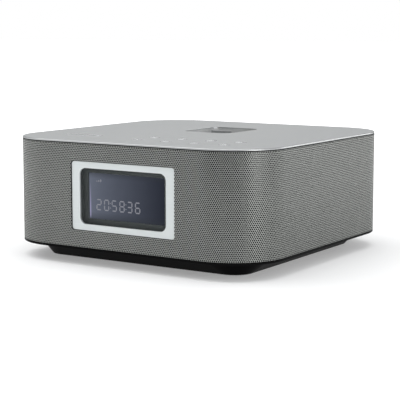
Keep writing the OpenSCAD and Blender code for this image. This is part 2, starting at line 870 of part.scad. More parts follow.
// Half roll between the cone and the frame, with a flat foot on the shelf
module surround(side) {
    foot_w = 1.3;
    roll_r = (surround_out + 0.1 - surround_in) / 2 - 0.35;
    foot_in = surround_in + 2 * roll_r - surround_t;
    color("#1a1a1a") on_baffle(side) rotate_extrude() {
        intersection() {
            translate([surround_in + roll_r, shelf_z]) difference() {
                circle(roll_r);
                circle(roll_r - surround_t);
            }
            translate([surround_in, shelf_z]) square([2 * roll_r, roll_r]);
        }
        translate([foot_in, shelf_z]) square([foot_w, surround_t]);
    }
}

// ---- electronics ----

module board_corners() {
    for (b = [[main_board_x, main_board_w], [power_board_x, power_board_w]])
        translate([b[0], board_front + board_l / 2, 0])
            at_corners(b[1] / 2 - board_hole_in, board_l / 2 - board_hole_in) children();
}

module drilled_board(x, w) {
    difference() {
        block(x, w, board_front, board_l, board_z, board_t);
        board_corners() upright(small_screw_d + hole_clear, board_z - cut, board_t + 2 * cut);
    }
}

// A component that stands on one of the rear boards
module part_on_board(x, w, y, l, h) {
    block(x, w, y, l, board_top - solder, h + solder);
}

module can_on_board(x, y, d, h) {
    translate([x, y, 0]) upright(d, board_top - solder, h + solder);
}

// Main board: processor, radio chip, capacitors, cable plug and the amplifier chip at the heat sink
module main_board() {
    amplifier_t = 6;
    color("#1e5a38") union() {
        drilled_board(main_board_x, main_board_w);
        part_on_board(20, 16, 50, 16, 1.8);
        part_on_board(55, 12, 40, 12, 1.8);
        for (x = [70, 82, 94]) can_on_board(x, 24, 10, 16);
        part_on_board(0, 30, 14, 6, 7);
        part_on_board(sink_x, 34, sink_y - amplifier_t, amplifier_t, 18);
    }
}

// Finned aluminium block behind the amplifier chip
module heat_sink() {
    fin_pitch = (sink_w - sink_fin_t) / (sink_fins - 1);
    first_fin_x = sink_x - (sink_w - sink_fin_t) / 2;
    color("#a8abad") union() {
        block(sink_x, sink_w, sink_y, sink_web, board_top, sink_h);
        for (k = [0 : sink_fins - 1])
            block(first_fin_x + k * fin_pitch, sink_fin_t, sink_y, sink_l, board_top, sink_h);
    }
}

module tuner_module() {
    color("#b9bcbd") block(aerial_x, 34, 70, 26, board_top, 9);
}

// Power board: transformer, capacitors, choke and rectifier
module power_board() {
    color("#2c5a3a") union() {
        drilled_board(power_board_x, power_board_w);
        part_on_board(-52, 28, 40, 26, 24);
        for (x = [-88, -72]) can_on_board(x, 30, 14, 26);
        part_on_board(-84, 14, 60, 20, 16);
        part_on_board(-50, 20, 84, 8, 14);
    }
}

// Two-pin mains inlet: a round-ended pocket with two pins
module power_inlet() {
    color("#1d1e20") at_socket(inlet_x) union() {
        difference() {
            linear_extrude(cabinet_in + socket_l) square([inlet_w, inlet_h], center = true);
            translate([0, 0, -cut]) linear_extrude(inlet_depth + cut) {
                square([2 * inlet_pin_x, 2 * inlet_pocket_r], center = true);
                for (x = [-1, 1]) translate([x * inlet_pin_x, 0]) circle(inlet_pocket_r);
            }
        }
        for (x = [-1, 1]) translate([x * inlet_pin_x, 0, 1]) cylinder(d = inlet_pin_d, h = inlet_depth);
    }
}

// Coaxial aerial socket with its middle pin
module aerial_socket() {
    color("#b9bcbd") at_socket(aerial_x) difference() {
        union() {
            cylinder(r = aerial_r, h = cabinet_in + solder);
            translate([-aerial_w / 2, -aerial_r, cabinet_in]) cube([aerial_w, 2 * aerial_r, socket_l]);
        }
        translate([0, 0, -cut]) difference() {
            cylinder(r = aerial_bore_r, h = aerial_depth + cut);
            cylinder(r = aerial_pin_r, h = aerial_depth + cut);
        }
    }
}

module line_in_jack() {
    color("#1d1e20") at_socket(line_x) difference() {
        union() {
            cylinder(r = line_nose_r, h = cabinet_in + solder);
            translate([-line_w / 2, -aerial_r, cabinet_in]) cube([line_w, 2 * aerial_r, socket_l]);
        }
        translate([0, 0, -cut]) cylinder(d = line_plug_d + line_plug_clear, h = line_depth + cut);
    }
}

// ---- screws ----

// A screw that points down, with its head's underside at z
module screw_down(d, z, l, head_d, head_h) {
    upright(d, z - l, l);
    upright(head_d, z, head_h);
}

// A screw that points up, with its head's upper side at z
module screw_up(d, z, l, head_d, head_h) {
    upright(d, z, l);
    upright(head_d, z - head_h, head_h);
}

module case_screws() {
    head_z = plinth_z + case_head_up + case_head_h;
    color("#3c3d3f") at_corners(case_screw_x, case_screw_y)
        screw_up(case_screw_d, head_z, floor_z + case_boss_h - 1.5 - head_z, case_head_d, case_head_h);
}

module rear_screws() {
    color("#3c3d3f") rear_screw_places() {
        cylinder(d = rear_head_d, h = rear_head_h);
        cylinder(d = small_screw_d, h = cabinet_in + cabinet_wall);
    }
}

module speaker_screws() {
    color("#3c3d3f") for (side = [-1, 1]) on_baffle(side) driver_screw_places()
        screw_down(small_screw_d, flange_front, flange_front + baffle_t, small_head_d, small_head_h);
}

module board_screws() {
    color("#8d8f91") board_corners()
        screw_down(small_screw_d, board_top, board_t + board_screw_l, small_head_d, small_head_h);
}

module key_board_screws() {
    screw_z = key_board_top - board_t;
    color("#8d8f91") key_board_corners()
        screw_up(small_screw_d, screw_z, deck_z - screw_z - 0.5, small_head_d, small_head_h);
}

top_plate();
top_frame();
grille();
grille_cloth();
cabinet();
rear_panel();
base_tray();
feet();
display_bezel();
display_window();
display_holder();
lcd_panel();
lcd_backlight();
display_board();
for (k = [0 : 7]) {
    round_key(k);
}
long_key();
key_board();
key_switches();
dock_well();
dock_connector();
dock_board();
for (s = [["left", -1], ["right", 1]]) {
    baffle(s[1]);
    speaker_box(s[1]);
    basket(s[1]);
    magnet(s[1]);
    voice_coil(s[1]);
    spider(s[1]);
    cone(s[1]);
    dust_cap(s[1]);
    surround(s[1]);
}
main_board();
heat_sink();
tuner_module();
power_board();
power_inlet();
aerial_socket();
line_in_jack();
case_screws();
rear_screws();
speaker_screws();
board_screws();
key_board_screws();
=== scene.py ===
# A one-piece tabletop hi-fi: a perforated grille bent round the body, an aluminium top plate with
# keys and a player dock, a framed display in the front, and all that is inside, in metres.
import math

import bmesh
import bpy
from mathutils import Matrix, Vector


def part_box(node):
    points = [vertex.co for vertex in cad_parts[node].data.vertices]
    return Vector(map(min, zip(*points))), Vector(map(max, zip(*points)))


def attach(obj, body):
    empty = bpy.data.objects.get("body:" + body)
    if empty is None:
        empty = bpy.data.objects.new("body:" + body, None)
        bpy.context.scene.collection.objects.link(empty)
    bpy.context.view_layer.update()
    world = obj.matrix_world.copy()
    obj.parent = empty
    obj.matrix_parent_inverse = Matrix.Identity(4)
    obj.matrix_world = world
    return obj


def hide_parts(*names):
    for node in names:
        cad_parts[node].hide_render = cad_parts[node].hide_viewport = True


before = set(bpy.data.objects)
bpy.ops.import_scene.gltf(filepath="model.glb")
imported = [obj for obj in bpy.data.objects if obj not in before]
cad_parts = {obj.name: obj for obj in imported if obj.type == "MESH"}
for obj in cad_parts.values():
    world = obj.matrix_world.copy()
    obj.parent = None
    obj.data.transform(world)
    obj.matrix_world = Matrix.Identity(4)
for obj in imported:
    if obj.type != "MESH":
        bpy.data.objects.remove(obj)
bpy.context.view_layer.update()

# ---- Studio ----
# A photographer's table: a white surround that is dark low down in front of the object, and soft
# lamps at both sides, behind and overhead. The camera has a long lens.

view_azimuth = math.radians(32.8)
view_elevation = math.radians(7.86)
view_distance = 1.165
view_target = Vector((-0.0009, -0.0022, 0.0458))
sensor_mm = 36
lens_mm = 112.2


def direction(azimuth, elevation):
    """The way from the object towards a place round it. Azimuth 0 is in front of it."""
    flat = math.cos(elevation)
    return Vector((math.sin(azimuth) * flat, -math.cos(azimuth) * flat, math.sin(elevation)))


towards_camera = direction(view_azimuth, view_elevation)
bpy.ops.object.camera_add(
    location=view_target + view_distance * towards_camera,
    rotation=towards_camera.to_track_quat("Z", "Y").to_euler(),
)
camera = bpy.context.object
camera.data.sensor_width = sensor_mm
camera.data.lens = lens_mm
bpy.context.scene.camera = camera
bpy.context.scene.view_settings.view_transform = "Standard"


class Number:
    """A value in a node tree. Arithmetic with it adds Math nodes."""

    def __init__(self, nodes, socket):
        self.nodes = nodes
        self.socket = socket

    def __add__(self, other):
        return self.nodes.maths("ADD", self, other)

    def __radd__(self, other):
        return self.nodes.maths("ADD", other, self)

    def __sub__(self, other):
        return self.nodes.maths("SUBTRACT", self, other)

    def __rsub__(self, other):
        return self.nodes.maths("SUBTRACT", other, self)

    def __mul__(self, other):
        return self.nodes.maths("MULTIPLY", self, other)

    def __rmul__(self, other):
        return self.nodes.maths("MULTIPLY", other, self)

    def __truediv__(self, other):
        return self.nodes.maths("DIVIDE", self, other)

    def __pow__(self, other):
        return self.nodes.maths("POWER", self, other)

    def __abs__(self):
        return self.nodes.maths("ABSOLUTE", self)

    def clipped(self):
        """The value held between 0 and 1."""
        return self.nodes.maths("MAXIMUM", self.nodes.maths("MINIMUM", self, 1.0), 0.0)

    def rising(self, start, length):
        """0 up to the start, then evenly up to 1 over this length."""
        return ((self - start) / length).clipped()

    def falling(self, end, length):
        """1 at first, then evenly down to 0 over this length before the end."""
        return ((end - self) / length).clipped()


class Nodes:
    """A node tree that grows by calls."""

    def __init__(self, tree):
        self.tree = tree

    def feed(self, socket, value):
        if isinstance(value, Number):
            self.tree.links.new(value.socket, socket)
        elif isinstance(value, tuple) and len(value) == 3 and socket.type == "RGBA":
            socket.default_value = (*value, 1.0)
        else:
            socket.default_value = value

    def node(self, kind, settings=None, values=None, output=0):
        """Adds a node: its settings first, then the values or links of its sockets."""
        node = self.tree.nodes.new(kind)
        for name, value in (settings or {}).items():
            setattr(node, name, value)
        for name, value in (values or {}).items():
            self.feed(node.inputs[name], value)
        return Number(self, node.outputs[output])

    def maths(self, operation, *values):
        return self.node("ShaderNodeMath", {"operation": operation}, dict(enumerate(values)))

    def mix(self, share, low, high):
        """A colour between two, at a share that may vary."""
        return self.node("ShaderNodeMix", {"data_type": "RGBA"}, {0: share, 6: low, 7: high}, output=2)


world = bpy.data.worlds.new("surround")
bpy.context.scene.world = world
world.use_nodes = True
surround = Nodes(world.node_tree)
dark_azimuth = math.radians(20)
dark_top = 0.18
dark_top_fade = 0.12
sky_start = 0.35
sky_fade = 0.4
way = surround.node("ShaderNodeTexCoord", output="Generated")
dark_way = surround.node("ShaderNodeVectorMath", {"operation": "DOT_PRODUCT"},
                         {0: way, 1: direction(dark_azimuth, 0)}, output="Value")
height = surround.node("ShaderNodeSeparateXYZ", values={"Vector": way}, output="Z")
dark = dark_way.rising(0.60, 0.25) * height.falling(dark_top, dark_top_fade)
seen = surround.node("ShaderNodeLightPath", output="Is Camera Ray")
sky = surround.mix(height.rising(sky_start, sky_fade), (0.57, 0.58, 0.59), (0.74, 0.75, 0.76))
glow = surround.mix(dark, sky, (0.03, 0.03, 0.035))
surround.feed(world.node_tree.nodes["Background"].inputs["Color"], surround.mix(seen, glow, (1.0, 1.0, 1.0)))


def softbox(name, azimuth, elevation, distance, size, power):
    """A rectangular lamp that faces the middle of the object."""
    way = direction(math.radians(azimuth), math.radians(elevation))
    bpy.ops.object.light_add(
        type="AREA",
        location=view_target + distance * way,
        rotation=way.to_track_quat("Z", "Y").to_euler(),
    )
    lamp = bpy.context.object
    lamp.name = name
    lamp.data.shape = "RECTANGLE"
    lamp.data.size, lamp.data.size_y = size
    lamp.data.energy = power
    lamp.visible_camera = False


softbox("right_lamp", 72, 14, 1.9, (0.7, 0.7), 7.5)
softbox("rear_lamp", 150, 15, 1.9, (0.8, 0.6), 6)
softbox("left_lamp", -72, 50, 1.8, (1.5, 1.1), 9.5)
softbox("back_lamp", 213, 20, 1.0, (0.9, 0.3), 0.7)
softbox("key_lamp", 213, 40, 1.8, (0.6, 0.3), 0.9)
softbox("top_lamp", 0, 86, 1.6, (1.4, 1.4), 11)

# ---- Floor ----
# A seamless sheet of white studio paper that glows a little, so that shadows stay pale. It is
# brighter far away, where it meets the surround, and dim far in front.


class Finish(Nodes):
    """A material with a Principled surface. Names given to shade() are that surface's sockets."""

    def __init__(self, name, **values):
        self.material = bpy.data.materials.new(name)
        self.material.use_nodes = True
        super().__init__(self.material.node_tree)
        self.surface = self.tree.nodes["Principled BSDF"]
        self.shade(**values)

    def shade(self, **values):
        for name, value in values.items():
            self.feed(self.surface.inputs[name.replace("_", " ").title().replace("Ior", "IOR")], value)

    def place(self, stretch=(1, 1, 1)):
        """Where a point is in the object, stretched for a pattern."""
        here = self.node("ShaderNodeTexCoord", output="Object")
        return self.node("ShaderNodeMapping", values={"Vector": here, "Scale": stretch})

    def along(self, axis):
        """A point's place along X, Y or Z, in metres."""
        here = self.node("ShaderNodeTexCoord", output="Object")
        return self.node("ShaderNodeSeparateXYZ", values={"Vector": here}, output=axis)

    def noise(self, size, detail=3.0, where=None):
        """Soft random spots of about this size in metres, from 0 to 1."""
        values = {"Vector": where or self.place(), "Scale": 1 / size, "Detail": detail}
        return self.node("ShaderNodeTexNoise", values=values)

    def cells(self, size, where=None):
        """The distance to the nearest of many random points about this far apart."""
        values = {"Vector": where or self.place(), "Scale": 1 / size}
        return self.node("ShaderNodeTexVoronoi", values=values)

    def bump(self, height, depth):
        """A surface that rises by this depth in metres where the height is 1."""
        values = {"Height": height, "Distance": depth, "Strength": 1.0}
        return self.node("ShaderNodeBump", values=values)

    def wear(self, *pieces):
        """Gives this finish alone to each piece or CAD node."""
        for piece in pieces:
            piece.data.materials.clear()
            piece.data.materials.append(self.material)


def nodes_named(*names):
    return [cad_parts[name] for name in names]


floor_size = 30
bright_start = 0.3
bright_fade = 0.6
dim_start = 0.52
dim_fade = 0.3
near_glow = 0.26
paper = Finish("white_floor", roughness=0.9, specular_ior_level=0.1)
away = (paper.along("X") ** 2 + paper.along("Y") ** 2) ** 0.5
lit = away.rising(bright_start, bright_fade)
front = (math.sin(dark_azimuth) * paper.along("X") - math.cos(dark_azimuth) * paper.along("Y")) / away
lit = lit - 2 * away.rising(dim_start, dim_fade) * front.rising(0.6, 0.25)
paper.shade(
    base_color=paper.mix(paper.noise(0.4), (0.67, 0.67, 0.67), (0.70, 0.70, 0.70)),
    emission_color=paper.mix(near_glow + (1 - near_glow) * lit, (0.06, 0.06, 0.06), (0.90, 0.90, 0.90)),
    emission_strength=1.0,
)
bpy.ops.object.select_all(action="DESELECT")
bpy.ops.mesh.primitive_plane_add(size=floor_size)
floor = bpy.context.object
floor.name = "floor"
paper.wear(floor)

# ---- Base ----
# Black base moulding: a flat lip under the grille, a sloping skirt and a plinth with four pockets
# for rubber feet. It is screwed up into the cabinet through four bosses.

grille_low, grille_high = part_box("grille")
body_width = grille_high.x - grille_low.x
body_depth = grille_high.y - grille_low.y
body_radius = 0.050
tray_low, tray_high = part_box("base_tray")
lip_height = 0.0023
skirt_insets = (0.028, 0.013)
skirt_radii = (0.017, 0.044)
tray_wall = 0.003
corner_steps = 16
touching = 1e-6
smooth_below = math.radians(40)
round_above = math.radians(35)


def only(piece):
    """Selects this object alone and makes it the active one."""
    bpy.ops.object.select_all(action="DESELECT")
    piece.select_set(True)
    bpy.context.view_layer.objects.active = piece


def edit(piece, mode="EDGE"):
    """Opens a mesh in edit mode with nothing selected."""
    only(piece)
    bpy.ops.object.mode_set(mode="EDIT")
    bpy.ops.mesh.select_mode(type=mode)
    bpy.ops.mesh.select_all(action="DESELECT")


def leave_edit():
    bpy.ops.object.mode_set(mode="OBJECT")


def pick_edges(piece, test):
    """Selects just the edges whose two ends pass the test."""
    bpy.ops.mesh.select_all(action="DESELECT")
    mesh = bmesh.from_edit_mesh(piece.data)
    for edge in mesh.edges:
        edge.select_set(bool(test(edge.verts[0].co, edge.verts[1].co)))
    bmesh.update_edit_mesh(piece.data)


def pick_faces(piece, test):
    """Selects just the faces whose middle and normal pass the test."""
    bpy.ops.mesh.select_all(action="DESELECT")
    mesh = bmesh.from_edit_mesh(piece.data)
    for face in mesh.faces:
        face.select_set(bool(test(face.calc_center_median(), face.normal)))
    bmesh.update_edit_mesh(piece.data)


def shape(piece, kind, **settings):
    """Adds a modifier, sets it and applies it."""
    only(piece)
    modifier = piece.modifiers.new(kind.title(), kind)
    for name, value in settings.items():
        setattr(modifier, name, value)
    bpy.ops.object.modifier_apply(modifier=modifier.name)


def smooth(piece):
    """Shades a piece smooth between its sharp edges. Its flat faces stay flat to the eye."""
    only(piece)
    bpy.ops.object.shade_smooth_by_angle(angle=smooth_below)
    shape(piece, "WEIGHTED_NORMAL", keep_sharp=True)


def soften(piece, width, segments=3):
    """Rounds the sharp edges, and shades the piece smooth between them."""
    shape(piece, "BEVEL", width=width, segments=segments, limit_method="ANGLE",
          angle_limit=round_above, use_clamp_overlap=True, harden_normals=False)
    smooth(piece)


def rounded_face(x, y, width, length, radius, height=0.0, steps=corner_steps):
    """A flat face with round corners, its middle at x and y. At its greatest radius it is a circle."""
    bpy.ops.object.select_all(action="DESELECT")
    bpy.ops.mesh.primitive_plane_add(size=1, location=(x, y, height))
    face = bpy.context.object
    face.scale = (width, length, 1)
    bpy.ops.object.transform_apply(location=True, rotation=True, scale=True)
    edit(face, "VERT")
    bpy.ops.mesh.select_all(action="SELECT")
    bpy.ops.mesh.bevel(offset=radius, affect="VERTICES", segments=steps)
    leave_edit()
    return face


def outline(inset, radius, height):
    """A flat face with the body's outline moved inwards, at a height."""
    return rounded_face(0, 0, body_width - 2 * inset, body_depth - 2 * inset, radius, height)


def joined(pieces, name):
    """Makes one object of several, in their order."""
    bpy.ops.object.select_all(action="DESELECT")
    for piece in pieces:
        piece.select_set(True)
    bpy.context.view_layer.objects.active = pieces[0]
    if len(pieces) > 1:
        bpy.ops.object.join()
    pieces[0].name = name
    return pieces[0]


def lofted(name, outlines):
    """A closed skin from the first outline to the last, through all between."""
    count = len(outlines[0].data.vertices)
    skin = joined(outlines, name)
    edit(skin, "FACE")
    mesh = bmesh.from_edit_mesh(skin.data)
    mesh.faces.ensure_lookup_table()
    for face in mesh.faces[1:-1]:
        face.select_set(True)
    bmesh.update_edit_mesh(skin.data)
    bpy.ops.mesh.delete(type="ONLY_FACE")
    bpy.ops.mesh.select_mode(type="EDGE")
    for layer in range(len(outlines) - 1):
        bpy.ops.mesh.select_all(action="DESELECT")
        mesh = bmesh.from_edit_mesh(skin.data)
        for edge in mesh.edges:
            layers = {vertex.index // count for vertex in edge.verts}
            edge.select_set(layers in ({layer}, {layer + 1}))
        bmesh.update_edit_mesh(skin.data)
        bpy.ops.mesh.bridge_edge_loops()
    bpy.ops.mesh.select_all(action="SELECT")
    bpy.ops.mesh.remove_doubles(threshold=touching)
    bpy.ops.mesh.normals_make_consistent(inside=False)
    leave_edit()
    return skin


def step_up(piece, height, places, radius, rise):
    """Pushes round areas of a flat face upwards: bosses on a floor, or pockets in an underside."""
    def in_face(*ends):
        return all(abs(end.z - height) < touching for end in ends)

    def on_a_circle(end):
        return any(abs((end.xy - place.xy).length - radius) < 1e-5 for place in places)

    def on_rim(first, second):
        return (in_face(first, second) and on_a_circle(first) and on_a_circle(second)
                and (first - second).length < radius / 4)

    edit(piece, "FACE")
    pick_faces(piece, lambda middle, normal: in_face(middle) and abs(normal.z) > 0.99)
    bpy.ops.mesh.delete(type="FACE")
    bpy.ops.mesh.select_mode(type="EDGE")
    for place in places:
        bpy.ops.mesh.primitive_circle_add(vertices=40, radius=radius, location=(place.x, place.y, height))
    pick_edges(piece, in_face)
    bpy.ops.mesh.fill(use_beauty=True)
    pick_edges(piece, on_rim)
    bpy.ops.mesh.extrude_edges_move(TRANSFORM_OT_translate={"value": (0, 0, rise)})
    bpy.ops.mesh.fill(use_beauty=True)
    bpy.ops.mesh.select_all(action="SELECT")
    bpy.ops.mesh.normals_make_consistent(inside=False)
    leave_edit()


def turned(name, profile, middle, steps=48):
    """A piece turned on an upright axis through its middle, from (radius, height) points."""
    mesh = bpy.data.meshes.new(name)
    points = [(radius, 0, height) for radius, height in profile]
    mesh.from_pydata(points, [(k, k + 1) for k in range(len(points) - 1)], [])
    piece = bpy.data.objects.new(name, mesh)
    bpy.context.scene.collection.objects.link(piece)
    edit(piece, "VERT")
    bpy.ops.mesh.select_all(action="SELECT")
    bpy.ops.mesh.spin(steps=steps, angle=2 * math.pi, center=(0, 0, 0), axis=(0, 0, 1))
    bpy.ops.mesh.select_all(action="SELECT")
    bpy.ops.mesh.remove_doubles(threshold=touching)
    bpy.ops.mesh.normals_make_consistent(inside=False)
    leave_edit()
    mesh.transform(Matrix.Translation(middle))
    return piece


def at_corners(middle, half_x, half_y):
    """Four places round a middle."""
    return [middle + Vector((x * half_x, y * half_y, 0)) for x in (-1, 1) for y in (-1, 1)]


def dress(piece, finish, slot, body, *nodes):
    """Gives a new piece its finish, its place in the record and the nodes that it stands for."""
    finish.wear(piece)
    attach(piece, body)
    if nodes:
        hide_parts(*nodes)


def moulded(name, colour, grain=0.0006, depth=0.00002, roughness=0.5, **values):
    """Moulded plastic: a fine spark-eroded grain, and a gloss that varies a little."""
    finish = Finish(name, **values)
    pits = finish.noise(grain, detail=4)
    clouds = finish.noise(0.05)
    lighter = tuple(min(1.0, part * 1.25 + 0.002) for part in colour)
    finish.shade(
        base_color=finish.mix(clouds, colour, lighter),
        roughness=roughness + 0.08 * (pits - 0.5) + 0.06 * (clouds - 0.5),
        normal=finish.bump(pits, depth),
    )
    return finish


lip_bottom = tray_high.z - lip_height
tray_floor = tray_low.z + tray_wall
inner_inset = skirt_insets[1] + tray_wall
tray = lofted("base_moulding", [
    outline(skirt_insets[0], skirt_radii[0], tray_low.z),
    outline(skirt_insets[1], skirt_radii[1], lip_bottom),
    outline(0, body_radius, lip_bottom),
    outline(0, body_radius, tray_high.z),
    outline(inner_inset, skirt_radii[1] - tray_wall, tray_high.z),
    outline(inner_inset, skirt_radii[1] - tray_wall, lip_bottom),
    outline(skirt_insets[0] + tray_wall, skirt_radii[0] - tray_wall, tray_floor),
])
feet_low, feet_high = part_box("feet")
foot_radius = 0.008
foot_places = at_corners(Vector((0, 0, 0)), feet_high.x - foot_radius, feet_high.y - foot_radius)
screws_low, screws_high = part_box("case_screws")
screw_head = 0.003
head_height = 0.0024
boss_radius = 0.0055
recess_radius = 0.0035
screw_places = at_corners(Vector((0, 0, 0)), screws_high.x - screw_head, screws_high.y - screw_head)
step_up(tray, tray_floor, screw_places, boss_radius, tray_high.z - tray_floor)
step_up(tray, tray_low.z, screw_places, recess_radius, screws_low.z + head_height - tray_low.z)
step_up(tray, tray_low.z, foot_places, foot_radius, feet_high.z - tray_low.z)
soften(tray, 0.0004)
base_black = moulded("base_black", (0.0022, 0.0022, 0.0024), roughness=0.40, specular_ior_level=0.025)
dress(tray, base_black, "base_black", "case", "base_tray")

# ---- Feet ----
# Four round rubber feet, glued into the pockets of the plinth. Their lower rims are rounded.

foot_rubber = moulded("foot_rubber", (0.030, 0.030, 0.031), grain=0.0004, roughness=0.85)
foot_edge = 0.0006
rim = [
    (foot_radius - foot_edge * (1 - math.sin(turn)), feet_low.z + foot_edge * (1 - math.cos(turn)))
    for turn in (math.radians(step * 22.5) for step in range(5))
]
foot_profile = [(0, feet_low.z), (foot_radius * 0.6, feet_low.z)] + rim + [
    (foot_radius, feet_high.z), (0, feet_high.z)]
feet = joined([turned("foot", foot_profile, place) for place in foot_places], "rubber_feet")
smooth(feet)
dress(feet, foot_rubber, "foot_rubber", "case", "feet")

# ---- Cabinet and cloth ----
# The black cabinet is one moulding, open at the top and behind. Thin black acoustic cloth is
# stretched round it, so that nothing shows through the holes of the grille.

cabinet_black = moulded("cabinet_black", (0.012, 0.012, 0.013), roughness=0.6)
cabinet_black.wear(*nodes_named("cabinet"))


def woven(name, colour, thread):
    """Plain cloth: rows of tiny threads, a little uneven, with a soft matt face."""
    finish = Finish(name, roughness=0.95, specular_ior_level=0.1)
    threads = finish.cells(thread)
    clouds = finish.noise(0.02)
    lighter = tuple(part * 2.2 for part in colour)
    finish.shade(
        base_color=finish.mix(0.7 * (1 - threads) + 0.3 * clouds, colour, lighter),
        normal=finish.bump(1 - threads, 0.0001),
    )
    return finish


acoustic_cloth = woven("acoustic_cloth", (0.006, 0.006, 0.006), 0.0004)
acoustic_cloth.wear(*nodes_named("grille_cloth"))

# ---- Grille ----
# One sheet of steel, punched all over with small round holes in staggered rows and sprayed silver
# grey, then bent round the front, both sides and all four corners. It is cut for the display
# straight through its holes, and here it is made in seven lengths that meet edge to edge.

sheet_thickness = 0.001
sheet_bottom = grille_low.z
sheet_top = grille_high.z
flat_front = body_width / 2 - body_radius
flat_side = body_depth - 2 * body_radius
quarter = body_radius * math.pi / 2
sheet_end = 0.0824
half_sheet = flat_front + quarter + flat_side + quarter + (flat_front - sheet_end)
lengths = ("grille_rear_left", "grille_left", "grille_front_left", "grille_front",
           "grille_front_right", "grille_right", "grille_rear_right")
columns = 64
rows_in_height = 58
pairs_of_rows = 30
pitch = 2 * half_sheet / (columns * len(lengths))
row = (sheet_top - sheet_bottom) / rows_in_height
hole = 0.00130
opening_gap = 0.0004
opening_low, opening_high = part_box("display_bezel")
opening_radius = 0.003


def bent(distance):
    """The place on the body's outline at a distance from the middle of the front."""
    side = -1 if distance < 0 else 1
    left = abs(distance) - flat_front
    if left < 0:
        return side * abs(distance), -body_depth / 2
    if left < quarter:
        turn = left / body_radius
        y = -body_depth / 2 + body_radius
    elif left < quarter + flat_side:
        return side * body_width / 2, left - quarter - flat_side / 2
    elif left < 2 * quarter + flat_side:
        turn = (left - flat_side) / body_radius
        y = body_depth / 2 - body_radius
    else:
        return side * (flat_front - (left - 2 * quarter - flat_side)), body_depth / 2
    return side * (flat_front + body_radius * math.sin(turn)), y - body_radius * math.cos(turn)


def close_to(place, reach):
    """A test for faces whose middle is within reach of a place, along X and along Y."""
    return lambda middle, _: abs(middle.x - place.x) < reach and abs(middle.y - place.y) < reach


def cut_along(sheet, point, normal, near=None, **clear):
    """Cuts a flat sheet, or the part of it near a place, along a straight line."""
    edit(sheet, "FACE")
    if near:
        pick_faces(sheet, near)
    else:
        bpy.ops.mesh.select_all(action="SELECT")
    bpy.ops.mesh.bisect(plane_co=point, plane_no=normal, threshold=1e-7, **clear)
    leave_edit()


def repeated(sheet, count, step):
    """Copies a sheet in a row, each this step from the last, and merges their edges."""
    shape(sheet, "ARRAY", count=count, use_relative_offset=False, use_constant_offset=True,
          constant_offset_displace=step, use_merge_vertices=True, merge_threshold=1e-5)


def punched(start):
    """A flat length of sheet: rows of six-sided cells, each with a hole in its middle."""
    bpy.ops.mesh.primitive_circle_add(vertices=6, radius=pitch / math.sqrt(3), fill_type="NGON")
    sheet = bpy.context.object
    edit(sheet, "FACE")
    bpy.ops.mesh.select_all(action="SELECT")
    bpy.ops.mesh.inset(thickness=(pitch - hole) / 2)
    bpy.ops.mesh.delete(type="FACE")
    bpy.ops.mesh.select_all(action="SELECT")
    bpy.ops.transform.resize(value=(1, row / (pitch * math.sqrt(3) / 2), 1), center_override=(0, 0, 0))
    bpy.ops.mesh.duplicate()
    bpy.ops.transform.translate(value=(pitch / 2, row, 0))
    leave_edit()
    repeated(sheet, columns, (pitch, 0, 0))
    repeated(sheet, pairs_of_rows, (0, 2 * row, 0))
    sheet.data.transform(Matrix.Translation((start + pitch / 2, sheet_bottom - row / 2, 0)))
    cut_along(sheet, (0, sheet_bottom, 0), (0, 1, 0), clear_inner=True)
    cut_along(sheet, (0, sheet_top, 0), (0, 1, 0), clear_outer=True)
    return sheet


def opened(sheet):
    """Cuts the display's opening, with its round corners, out of a flat sheet."""
    low_x, high_x = opening_low.x - opening_gap, opening_high.x + opening_gap
    low_y, high_y = opening_low.z - opening_gap, opening_high.z + opening_gap
    inner = opening_radius
    for x, side in ((low_x, -1), (high_x, 1)):
        for y, up in ((low_y, -1), (high_y, 1)):
            corner = Vector((x - side * inner, y - up * inner, 0))
            for turn in (0, 22.5, 45, 67.5, 90):
                way = Vector((side * math.cos(math.radians(turn)), up * math.sin(math.radians(turn)), 0))
                reach = high_x - low_x if turn in (0, 90) else 2 * inner
                cut_along(sheet, corner + inner * way, way, close_to(corner, reach))

    def inside(middle, _):
        x = max(low_x + inner - middle.x, middle.x - high_x + inner, 0)
        y = max(low_y + inner - middle.y, middle.y - high_y + inner, 0)
        return math.hypot(x, y) < inner

    edit(sheet, "FACE")
    pick_faces(sheet, inside)
    bpy.ops.mesh.delete(type="FACE")
    leave_edit()


def sprayed_steel():
    """Silver grey paint with fine metal flakes, a little uneven from the spray."""
    finish = Finish("grille_paint", metallic=0.75, specular_ior_level=0.5)
    flakes = finish.noise(0.00025, detail=2)
    clouds = finish.noise(0.03)
    finish.shade(
        base_color=finish.mix(0.6 * flakes + 0.4 * clouds, (0.265, 0.275, 0.262), (0.37, 0.38, 0.362)),
        roughness=0.36 + 0.12 * (flakes - 0.5),
        normal=finish.bump(flakes, 0.00001),
    )
    return finish


grille_paint = sprayed_steel()
# Painted shade: the walls of the holes and the cut edges of the sheet are near black, so that the holes look
# dark from every side.
painted_hole_shade = moulded("painted_hole_shade", (0.010, 0.010, 0.010), roughness=0.7, specular_ior_level=0.1)
for number, name in enumerate(lengths):
    start = -half_sheet + number * columns * pitch
    sheet = punched(start)
    if name == "grille_front":
        opened(sheet)
    if number == 0:
        cut_along(sheet, (-half_sheet, 0, 0), (1, 0, 0), clear_inner=True)
    if number == len(lengths) - 1:
        cut_along(sheet, (half_sheet, 0, 0), (1, 0, 0), clear_outer=True)
    for vertex in sheet.data.vertices:
        vertex.co = (*bent(vertex.co.x), vertex.co.y)
    sheet.name = name
    dress(sheet, grille_paint, "grille_steel", "case", "grille")
    sheet.data.materials.append(painted_hole_shade.material)
    shape(sheet, "SOLIDIFY", thickness=sheet_thickness, offset=-1, use_rim=True, material_offset_rim=1)

# ---- Display ----
# A pale brushed aluminium frame round a thin dark window. Behind it a black holder carries
# the liquid crystal panel, its light guide and the display board. It clips in from the front.

